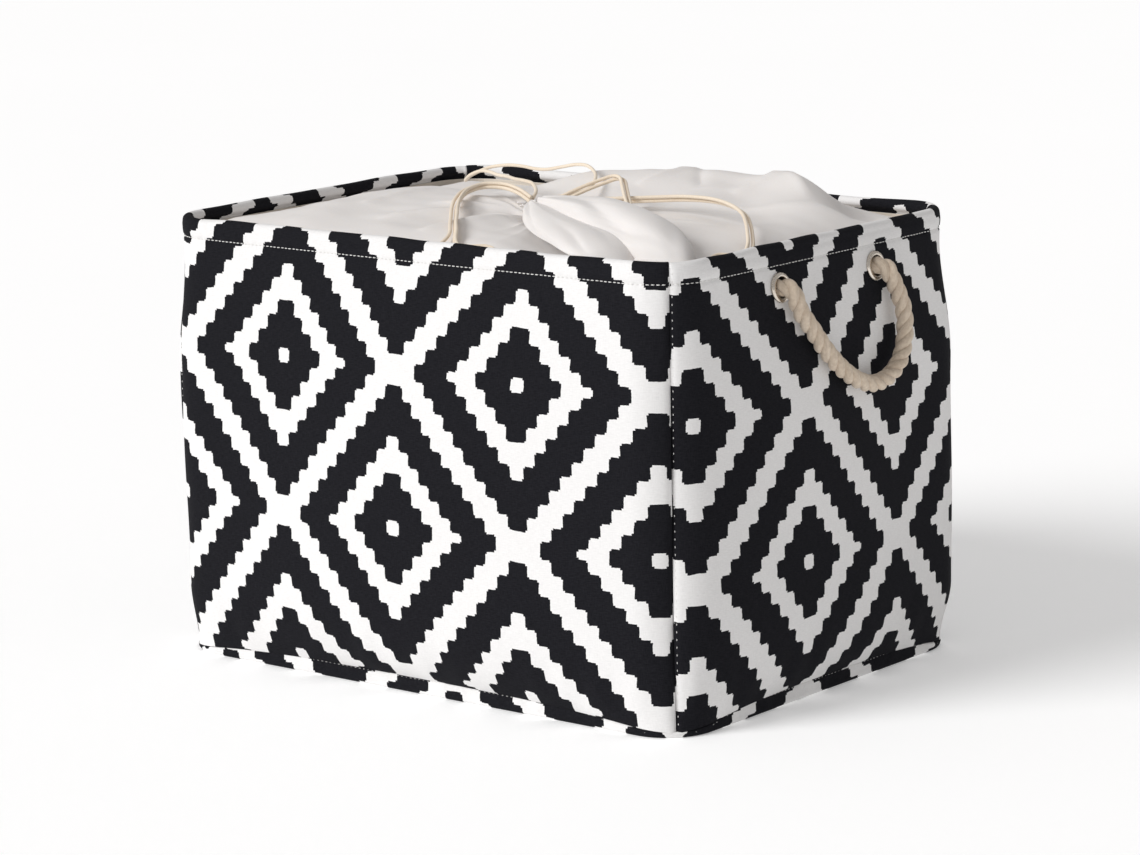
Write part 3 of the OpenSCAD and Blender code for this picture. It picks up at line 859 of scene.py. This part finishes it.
# --- metal
def lathe_part(profile, middle, out, sides=64):
    """A ring turned round an axis: profile is closed (radius, height) points."""
    side = np.array([0, 1.0, 0])
    up = np.cross(out, side)
    turn = full_turn(sides)
    profile = np.asarray(profile, float)
    ring = np.cos(turn)[:, None] * side + np.sin(turn)[:, None] * up
    verts = (middle + profile[:, 1][:, None, None] * out
             + profile[:, 0][:, None, None] * ring[None]).reshape(-1, 3)
    faces = grid_faces(len(profile), sides, close_rows=True, close_cols=True)
    uvs = [(i / sides, j / len(profile)) for j in range(len(profile)) for i in range(sides)]
    return verts, faces, uvs


def grommets(name, side, material):
    """A domed ring rolled from the barrel over to a thin outer edge."""
    wall = 0.7 * MM
    dome = [(GROMMET_R - 1.55 * MM + 1.55 * MM * math.cos(a),
             0.5 * MM + 1.75 * MM * math.sin(a)) for a in np.radians(range(0, 100, 12))]
    lip = [(BARREL_R + 0.9 * MM - 0.9 * MM * math.sin(a),
            1.35 * MM + 0.9 * MM * math.cos(a)) for a in np.radians(range(0, 95, 15))]
    barrel = [(BARREL_R, -2 * MM), (BARREL_R, -7.2 * MM), (BARREL_R + wall, -7.2 * MM),
              (BARREL_R + wall, 0.3 * MM), (GROMMET_R - 0.4 * MM, 0.3 * MM)]
    parts = [lathe_part(dome + lip + barrel, middle, out)
             for middle, out in grommet_axes(side)]
    obj = join_parts(f"{name}_grommet_rings", parts, material)
    fix_normals(obj)
    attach(obj, "root")
    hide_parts(f"{name}_grommets")


# --- ropes
ROPE_LAY, STRANDS = 26 * MM, 3
# One handle's route, in mm, from the first grommet's mouth to the second's
HANDLE_ROUTE = [
    (211.6, -42, 236), (213, -33, 225), (214.6, -22, 211.5), (216, -8, 198.5),
    (216.6, 8, 189), (216.8, 24, 184.5), (216.6, 40, 186.5), (216, 53, 195),
    (214.6, 60, 208.5), (213, 61, 223), (211.6, 56, 236),
]


def handle_path():
    """The whole rope of the right handle, from one inner knot to the other."""
    def through(end, near_y):
        y = end * GROMMET_Y
        inside = [(GROMMET_X / MM + d * math.cos(TILT), y / MM,
                   GROMMET_Z / MM + d * math.sin(TILT)) for d in (-22, -12, -3, 4)]
        return inside + [(209.3, y / MM + near_y * 0.3, 249.6), (211.2, y / MM + near_y, 245.4)]
    first = through(-1, 1.2)
    last = through(1, 1.8)
    return resample(smooth_path(np.array(first + HANDLE_ROUTE + last[::-1]) * MM, 12),
                    1.1 * MM)[0]


def twisted_parts(path, lay, offset, radius, sides):
    """Strands of a laid rope, each turning round the path once in a lay."""
    a, b = frames_along(path)
    along = lengths_along(path)
    parts = []
    for k in range(STRANDS):
        turn = 2 * math.pi * (along / lay + k / STRANDS)
        middle = path + offset * (np.cos(turn)[:, None] * a + np.sin(turn)[:, None] * b)
        parts.append(tube_part(middle, radius, sides))
    return parts


def knot_path(middle, size, count, depth, axes):
    """An overhand knot's closed curve. axes turns it to face along X or Z."""
    t = np.linspace(0, 2 * math.pi, count)
    curve = (np.sin(t) + 2 * np.sin(2 * t), np.cos(t) - 2 * np.cos(2 * t),
             -np.sin(3 * t) * depth)
    return middle + np.column_stack([curve[k] for k in axes]) / 3 * size


def handle_rope(name, side, material):
    turned = np.array([side, side, 1.0])
    path = handle_path() * turned
    parts = twisted_parts(path, ROPE_LAY, 2.4 * MM, 2.95 * MM, 18)
    rope = join_parts(f"{name}_handle_rope_twisted", parts, material)
    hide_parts(f"{name}_handle_rope")
    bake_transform(rope)
    knots = []
    for middle, out in grommet_axes(side):
        centre = middle - out * 20 * MM
        loop = resample(knot_path(centre, 8.2 * MM, 200, 1.1, (2, 0, 1)), 1.2 * MM)[0]
        knots += twisted_parts(loop, 18 * MM, 1.9 * MM, 2.1 * MM, 12)
        drop = np.array([(0, 0, -4), (-1.5, 1, -12), (-2, 1.5, -20), (-1.5, 1, -25)]) * MM
        tail = resample(smooth_path(centre + drop * turned, 10), 1.2 * MM)[0]
        knots += twisted_parts(tail, ROPE_LAY, 2.2 * MM, 2.4 * MM, 12)
    ends = join_parts(f"{name}_rope_knots", knots, material)
    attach(ends, "root")
    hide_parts(f"{name}_rope_ends")


# --- cover
NECK = (14 * MM, -36 * MM)
CROWN_Z, EDGE_Z = RIM + 1 * MM, RIM - 15 * MM
COVER_T = 1 * MM
LINER_IN = LINING_OFF - LINING_T
# Hills on the cover: x, y, reach in x, reach in y and height, in mm
HILLS = (
    (45, 66, 120, 42, 15), (-92, -14, 52, 52, 10), (-24, -30, 34, 30, 4),
    (14, -36, 16, 16, -5), (112, -92, 70, 34, -9), (130, 34, 50, 34, -3),
    (-186, 0, 36, 200, -10), (176, 118, 42, 42, -9), (-110, 112, 62, 46, -9),
)
# Finer lumps that only the cloth has
LUMPS = (
    (52, 84, 24, 15, 3.5), (88, 70, 16, 20, -1.5), (122, 82, 24, 17, 8),
    (6, 78, 22, 18, 1), (-34, 64, 24, 20, 4), (162, 88, 18, 24, -8),
    (-118, -36, 18, 40, 3), (-62, 34, 36, 24, -4), (-104, 40, 62, 44, -8),
    (90, 84, 30, 18, 5), (-126, 4, 34, 44, -6),
)
# Creases: from x, y to x, y, then width and height, in mm
CREASE_DEPTH = 1.35
CREASES = (
    (117, 30, 168, 66, 5, 2.4), (60, 26, 117, 30, 6, 2.0), (46, 84, 30, 44, 4, 2.4),
    (46, 84, 70, 52, 5, -2.2), (96, 52, 112, 84, 4, 2.6), (112, 84, 142, 66, 5, 2.2),
    (-96, -70, -84, -20, 5, 2.4), (-20, -52, -60, -96, 5, 2.6), (-6, -40, -50, -60, 6, 2.2),
    (-10, -20, -74, 20, 6, 2.0), (34, -20, 80, 14, 5, 1.8), (40, -30, 130, -10, 7, 1.6),
    (-126, 10, -90, 60, 6, 2.0), (6, -60, -14, -110, 5, 2.2),
)


def inset(x, y):
    """Distance from a plan point to the inside of the walls, near enough."""
    dx, dy = np.abs(x) - CX, np.abs(y) - CY
    corner = np.hypot(np.maximum(dx, 0), np.maximum(dy, 0))
    reach = np.where((dx > 0) & (dy > 0), corner, np.maximum(dx, dy))
    return CORNER_R + LINER_IN - 0.3 * MM - reach


def hill_sum(hills, x, y):
    total = np.zeros_like(x)
    for hx, hy, rx, ry, h in hills:
        total += h * MM * np.exp(-((x - hx * MM) / (rx * MM)) ** 2
                                 - ((y - hy * MM) / (ry * MM)) ** 2)
    return total


def crease_sum(x, y):
    total = np.zeros_like(x)
    for ax, ay, bx, by, width, height in CREASES:
        a, d = np.array([ax, ay]) * MM, np.array([bx - ax, by - ay]) * MM
        t = ((x - a[0]) * d[0] + (y - a[1]) * d[1]) / (d @ d)
        off = np.hypot(x - a[0] - np.clip(t, 0, 1) * d[0], y - a[1] - np.clip(t, 0, 1) * d[1])
        fade = np.sin(math.pi * np.clip(t * 0.9 + 0.05, 0, 1)) ** 0.6
        total += CREASE_DEPTH * height * MM * fade * np.exp(-off / (width * MM) * 1.2)
    return total


def cover_height(x, y):
    crown = CROWN_Z + hill_sum(HILLS, x, y) + hill_sum(LUMPS, x, y) + crease_sum(x, y)
    edge = np.clip(inset(x, y), 0, None)
    rise = 1 - (1 - np.minimum(edge / (55 * MM), 1)) ** 3
    return EDGE_Z + (crown - EDGE_Z) * rise


def pleats(angle, r):
    """Gathers that run out from the drawn-up neck and die away."""
    near = np.exp(-np.maximum(r - 8 * MM, 0) / (26 * MM))
    far = np.exp(-np.maximum(r - 8 * MM, 0) / (75 * MM))
    wander = 0.6 * np.sin(2 * angle + 40 * r) + 0.3 * np.sin(5 * angle - 25 * r)
    fine = 1 - np.abs(np.sin(13 * angle / 2 + wander * 1.5))
    broad = 1 - np.abs(np.sin(7 * angle / 2 + 0.7 + wander)) ** 0.8
    return 3.4 * MM * near * (fine - 0.4) + 2.6 * MM * far * (broad - 0.4)


def shell(name, top, uv, thickness, material, close_cols):
    """A closed cloth of even thickness under a grid of points."""
    along = np.gradient(top, axis=0)
    across = (np.roll(top, -1, 1) - np.roll(top, 1, 1)) if close_cols else np.gradient(top, axis=1)
    normal = np.cross(along, across)
    normal /= np.maximum(np.linalg.norm(normal, axis=2)[..., None], 1e-12)
    return closed_cloth(name, top, top + normal * thickness, uv, material, close_cols)


def cover_cloth(material):
    spokes, rings = 360, 96
    angle = full_turn(spokes)
    near, far = np.full(spokes, 10 * MM), np.full(spokes, 330 * MM)
    for _ in range(16):
        mid = (near + far) / 2
        clear = inset(NECK[0] + mid * np.cos(angle), NECK[1] + mid * np.sin(angle)) > 0.4 * MM
        near, far = np.where(clear, mid, near), np.where(clear, far, mid)
    r0 = 8 * MM
    f = np.linspace(0, 1, rings)[:, None] ** 0.9
    r = r0 + (near - r0)[None] * f
    x, y = NECK[0] + r * np.cos(angle), NECK[1] + r * np.sin(angle)
    z = cover_height(x, y)
    free = smoothstep(inset(x, y) / (30 * MM))
    z = z + pleats(angle[None], r) * free
    z = z + waves(x, y, 41, 9, 70 * MM) * 0.9 * MM * free
    z = z + waves(x, y, 42, 9, 24 * MM) * 0.25 * MM * free
    top = np.dstack([x, y, z])
    uv = np.dstack([x, y])
    obj = shell("cover_cloth", top, uv, COVER_T, material, True)
    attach(obj, "root")
    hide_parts("cover")


def neck_gathers(material):
    """The bunched neck: deep pleats drawn in by the cord, and a short frill over it."""
    spokes = 252
    angle = full_turn(spokes)
    base = float(cover_height(np.array(NECK[0]), np.array(NECK[1])))
    #           height over the neck, radius, depth of the pleats, all in mm
    profile = ((1.0, 9.4, 1.6), (2.5, 8.0, 1.4), (4.5, 7.0, 1.1), (6.5, 6.4, 0.9),
               (8.0, 6.6, 1.0), (9.6, 7.8, 1.4), (10.8, 9.2, 2.0), (11.4, 10.6, 2.4))
    rows = smooth_path(profile, 4) * MM
    fine = np.abs(np.sin(13 * angle / 2 + 0.6 * np.sin(2 * angle))) - 0.5
    slow = np.sin(3 * angle + 1.0) + 0.6 * np.sin(5 * angle)
    top = []
    for height, radius, depth in rows:
        r = radius + depth * fine * 2 + 0.25 * depth * slow
        z = base + height + 0.5 * depth * slow
        top.append(np.column_stack([NECK[0] + r * np.cos(angle),
                                    NECK[1] + r * np.sin(angle), z]))
    top = np.array(top)
    uv = np.dstack(np.broadcast_arrays(angle[None] * 30 * MM, rows[:, 0][:, None] * 2))
    obj = shell("cover_neck_gathers", top, uv, 0.8 * MM, material, True)
    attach(obj, "root")
    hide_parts("cover_neck")


def fold_cloth(name, route, sizes, spread, dents, seed, material):
    """A hollow fold of cloth lying over its route, open below and at its far end.

    sizes gives half width and height, in mm, at each route point. spread is the
    turn, in degrees, from the left edge over the top to the right edge. Each dent
    is a soft crease: from and to (share of the length, turn), width and depth.
    """
    path = smooth_path(np.array(route) * MM, 16)
    half = smooth_path(np.array(sizes) * MM, 16)
    t = unit(np.gradient(path, axis=0))
    side = unit(np.cross([0, 0, 1.0], t))
    up = np.cross(t, side)
    f = np.linspace(0, 1, len(path))[:, None]
    phi = np.linspace(spread[0], spread[1], 120)[None] + 0 * f
    turn = np.radians(phi)
    phase = np.random.default_rng(seed).uniform(0, 6.28, 5)
    gather = np.exp(-f * 5.5) * (0.5 - np.abs(np.sin(3.5 * turn + phase[0] + 0.5 * f)))
    broad = (0.5 * np.cos(2.1 * turn + phase[1] + 1.4 * f)
             + 0.3 * np.cos(3.7 * turn + phase[2] - 3 * f)
             + 0.35 * np.cos(7 * f + 1.5 * turn + phase[3]))
    swell = 1 + 0.34 * gather + 0.07 * broad * smoothstep(f * 3)
    for f0, a0, f1, a1, width, depth in dents:
        along = np.array([f1 - f0, (a1 - a0) / 90])
        px, py = f - f0, (phi - a0) / 90
        share = np.clip((px * along[0] + py * along[1]) / (along @ along), 0, 1)
        off = np.hypot(px - share * along[0], py - share * along[1])
        swell = swell + depth * np.sin(math.pi * (0.12 + 0.76 * share)) * np.exp(-(off / width) ** 2)
    wide = half[:, 0][:, None] * np.sin(turn) * swell
    high = half[:, 1][:, None] * np.cos(turn) * swell
    top = path[:, None] + side[:, None] * wide[..., None] + up[:, None] * high[..., None]
    uv = np.dstack(np.broadcast_arrays(f * 0.19, turn * 0.02))
    obj = shell(name, top, uv, 0.8 * MM, material, False)
    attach(obj, "root")
    return obj


BACK_FOLD = [(18, -38, 283), (34, -43, 282), (55, -50, 280.5), (80, -61, 280),
             (107, -76, 279.5), (138, -91, 277), (158, -101, 273.5), (172, -108, 269),
             (181, -113, 264)]
BACK_SIZES = [(4, 5), (10, 8), (17, 11.5), (21, 14), (22, 14.5), (21, 14), (18, 12),
              (13, 10), (8, 7)]
BACK_DENTS = ((0.42, -10, 0.60, -62, 0.10, -0.16), (0.60, -62, 0.78, -20, 0.09, -0.10),
              (0.22, 10, 0.5, -40, 0.08, -0.10), (0.12, -40, 0.62, -100, 0.10, -0.08),
              (0.70, 30, 0.92, -30, 0.09, -0.08))
FRONT_FOLD = [(16, -45, 282), (30, -58, 281), (52, -76, 279), (84, -98, 277.5),
              (114, -113, 275.5), (134, -124, 272), (146, -130, 267)]
FRONT_SIZES = [(3.5, 4), (8, 6), (13, 8), (18, 9), (20, 9), (17, 8), (11, 6)]
FRONT_DENTS = ((0.15, -30, 0.55, -80, 0.09, -0.12), (0.35, 50, 0.75, 10, 0.10, -0.10),
               (0.55, -20, 0.85, -60, 0.08, -0.10))


def ruffle(material):
    back = fold_cloth("ruffle_back_cloth", BACK_FOLD, BACK_SIZES, (-118, 112),
                      BACK_DENTS, 5, material)
    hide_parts("ruffle_back_fold")
    front = fold_cloth("ruffle_front_cloth", FRONT_FOLD, FRONT_SIZES, (-84, 122),
                       FRONT_DENTS, 6, material)
    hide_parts("ruffle_front_fold")


# --- drawcord
CORD_D = 2.2 * MM


def doubled(out, turn, shift):
    """Out along a route, round its end, and back beside it."""
    back = [tuple(a + b for a, b in zip(p, shift)) for p in reversed(out)]
    return out + turn + back


FRONT_OUT = [
    (4, -32, 284), (-8, -29, 288), (-22, -27, 290), (-33, -33, 290),
    (-35, -45, 288), (-29, -59, 285.5), (-19, -74, 282.5), (-7, -89, 280),
    (5, -104, 278), (17, -118, 275.5), (24, -127, 272.5), (30, -132, 270),
]
FRONT_TURN = [
    (38, -135, 269), (46, -136.8, 268.4), (53, -135.4, 268.6), (56, -130.6, 269.8),
    (52.6, -126.2, 271.2), (45.6, -126, 272.2), (38, -129.6, 271.8),
]
FRONT_TAIL = [
    (3, -29.4, 285.2), (-9, -26.2, 289.4), (-22.8, -24.2, 291.4),
    (-35, -30.6, 291.4), (-37.8, -45, 289.2), (-31.6, -60.2, 286.5),
    (-21.2, -75.8, 283.5), (-9.2, -90.8, 281), (2.8, -105.8, 279),
    (14, -119.5, 276.4), (17, -128, 273.4), (14, -133.4, 270.2),
    (6, -135.5, 268.5), (-4, -135.5, 268.4), (-16, -135, 268.6),
]
BACK_LOOP = [
    (7, -27, 284), (14, -10, 286), (15, 8, 287), (9, 24, 289), (-4, 42, 292),
    (-22, 57, 294), (-42, 70, 292), (-62, 81, 288), (-82, 91, 284),
    (-98, 98, 282.5), (-114, 104, 282.5), (-131, 109, 281.5), (-148, 111, 278.5),
    (-156, 103, 274), (-150, 90, 272.5), (-139, 77, 275.5), (-128, 69, 280),
    (-117, 66, 283.5), (-106, 62, 284), (-94, 56, 283.5), (-78, 45, 285),
    (-58, 29, 286.5), (-38, 14, 288.5), (-20, 0, 289.5), (-6, -14, 287.5),
    (0, -25, 284.5),
]
CENTRE_OUT = [
    (15, -25, 284), (22, -18, 288.5), (29, -11, 292.5), (36, -4, 296),
    (43, 0, 298.5), (50, -2, 298), (57, -9, 294.5), (65, -17, 289.5), (73, -24, 284.5),
]
CENTRE_TURN = [
    (80, -31, 280.4), (86, -35, 279.6), (92, -33.6, 279.4), (93.6, -28, 279.4),
    (89.4, -24, 279.2), (83, -24.6, 279),
]
RIGHT_OUT = [
    (24, -32, 284), (38, -22, 284.5), (56, -12, 285), (76, -3, 286),
    (98, 2, 287.5), (120, 0, 288), (140, -8, 287), (156, -18, 284.5),
    (168, -30, 281), (178, -42, 276.5), (184, -50, 272.5), (187.5, -58, 269),
    (188, -67, 268.2),
]
RIGHT_TURN = [
    (188.6, -76, 268), (187, -82, 268.2), (182, -84.4, 269), (177.6, -81, 270),
    (178.6, -75, 271),
]
# Each cord: CAD node, route in mm, what ends it, real length in metres
CORDS = (
    ("drawcord_front_loop", doubled(FRONT_OUT, FRONT_TURN, (0.6, 0.6, 2.4)), "object", 0.385),
    ("drawcord_front_tail", FRONT_TAIL, "knot", 0.195),
    ("drawcord_back_loop", BACK_LOOP, "object", 0.46),
    ("drawcord_centre_loop", doubled(CENTRE_OUT, CENTRE_TURN, (2.6, 1.2, -1.8)),
     "object", 0.215),
    ("drawcord_right_loop", doubled(RIGHT_OUT, RIGHT_TURN, (-2.2, -2, 2.2)),
     "object", 0.46),
)


def tail_knot(material):
    lo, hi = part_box("tail_knot")
    path = knot_path(np.array((lo + hi) / 2), 2.1 * MM, 120, 1.2, (0, 1, 2))
    knot = join_parts("drawcord_tail_knot", [tube_part(path, 1.15 * MM, 12)], material)
    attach(knot, "root")
    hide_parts("tail_knot")
    return knot


def drawcords(material):
    knot = tail_knot(material)
    for node, route, far_end, length in CORDS:
        path = resample(smooth_path(np.array(route) * MM, 10), 0.9 * MM)[0]
        cord = join_parts(f"{node}_cloth", [tube_part(path, CORD_D / 2, 14)], material)
        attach(cord, "root")
        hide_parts(node)


# --- light and floor
def stage_material():
    material, n, shader = new_material("studio_floor")
    where = n.add("ShaderNodeTexCoord").outputs["Object"]
    tone = n.noise(where, 1.5, 2)
    finish_material(n, shader, n.mix(tone, rgb(0.93, 0.93, 0.93), rgb(0.95, 0.95, 0.95)),
                    0.9, None, Specular_IOR_Level=0.1, Emission_Color=rgb(1, 1, 1),
                    Emission_Strength=0.26)
    return material


def add_stage():
    reach = 30
    corners = [(-reach, -reach, 0), (reach, -reach, 0), (reach, reach, 0), (-reach, reach, 0)]
    floor = new_object("floor", corners, [(0, 1, 2, 3)], None, stage_material())


def add_light():
    world = bpy.data.worlds.new("studio")
    world.use_nodes = True
    world.node_tree.nodes["Background"].inputs["Color"].default_value = rgb(1, 0.985, 0.98)
    world.node_tree.nodes["Background"].inputs["Strength"].default_value = 0.4
    bpy.context.scene.world = world
    data = bpy.data.lights.new("key", "SUN")
    data.energy = 2.28
    data.angle = math.radians(28)
    key = bpy.data.objects.new("key", data)
    towards = Vector((-0.38, -0.80, 0.55))
    key.rotation_euler = towards.to_track_quat("Z", "Y").to_euler()
    bpy.context.scene.collection.objects.link(key)


# --- build
def paint_node(name, material):
    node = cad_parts[name]
    node.data.materials.clear()
    node.data.materials.append(material)


def main():
    bpy.context.scene.view_settings.view_transform = "Standard"
    add_camera()
    cord_mat = rope_material("drawcord_cotton", rgb(0.93, 0.84, 0.71), rgb(0.80, 0.66, 0.50),
                             900, 9, 0.12)
    drawcords(cord_mat)
    group = print_group()
    phases = {"front": (1.5, 15), "right": (-34, -2.5), "back": (24, 60), "left": (60, 30)}
    lining_mat = cloth_material("beige_lining", rgb(0.80, 0.74, 0.66), rgb(0.70, 0.63, 0.54),
                                0.9, 0.15)
    for name, (u, v) in phases.items():
        canvas_wall(name, canvas_material(f"{name}_print", (u * MM, v * MM), group))
        lining_wall(name, lining_mat)
    base_cloth(canvas_material("base_print", (30 * MM, -118 * MM), group))
    base_lining_cloth(lining_mat)
    thread = rope_material("stitch_thread", rgb(0.88, 0.87, 0.85), rgb(0.66, 0.65, 0.63),
                           2500, 3, 0.05)
    hem_stitches(thread)
    corner_stitches(thread)
    base_stitches(thread)
    nickel = metal_material("nickel", rgb(0.80, 0.74, 0.66), rgb(0.45, 0.36, 0.27), 0.2, 900)
    steel = metal_material("rim_steel", rgb(0.62, 0.62, 0.63), rgb(0.30, 0.28, 0.26), 0.35, 600)
    rope_mat = rope_material("cotton_rope", rgb(0.80, 0.69, 0.56), rgb(0.50, 0.39, 0.29),
                             420, 7, 0.35)
    for name, side in HOLE_SIDES.items():
        grommets(name, side, nickel)
        handle_rope(name, side, rope_mat)
    for name in ("right_washers", "left_washers", "wire_sleeve"):
        paint_node(name, nickel)
    paint_node("rim_wire", steel)
    paint_node("base_board", board_material("grey_board"))
    cover_mat = cloth_material("cover_cotton", rgb(0.86, 0.825, 0.80), rgb(0.80, 0.76, 0.735),
                               0.45, 0.06, sub=0.12)
    cover_cloth(cover_mat)
    neck_gathers(cover_mat)
    ruffle(cover_mat)
    add_stage()
    add_light()


main()
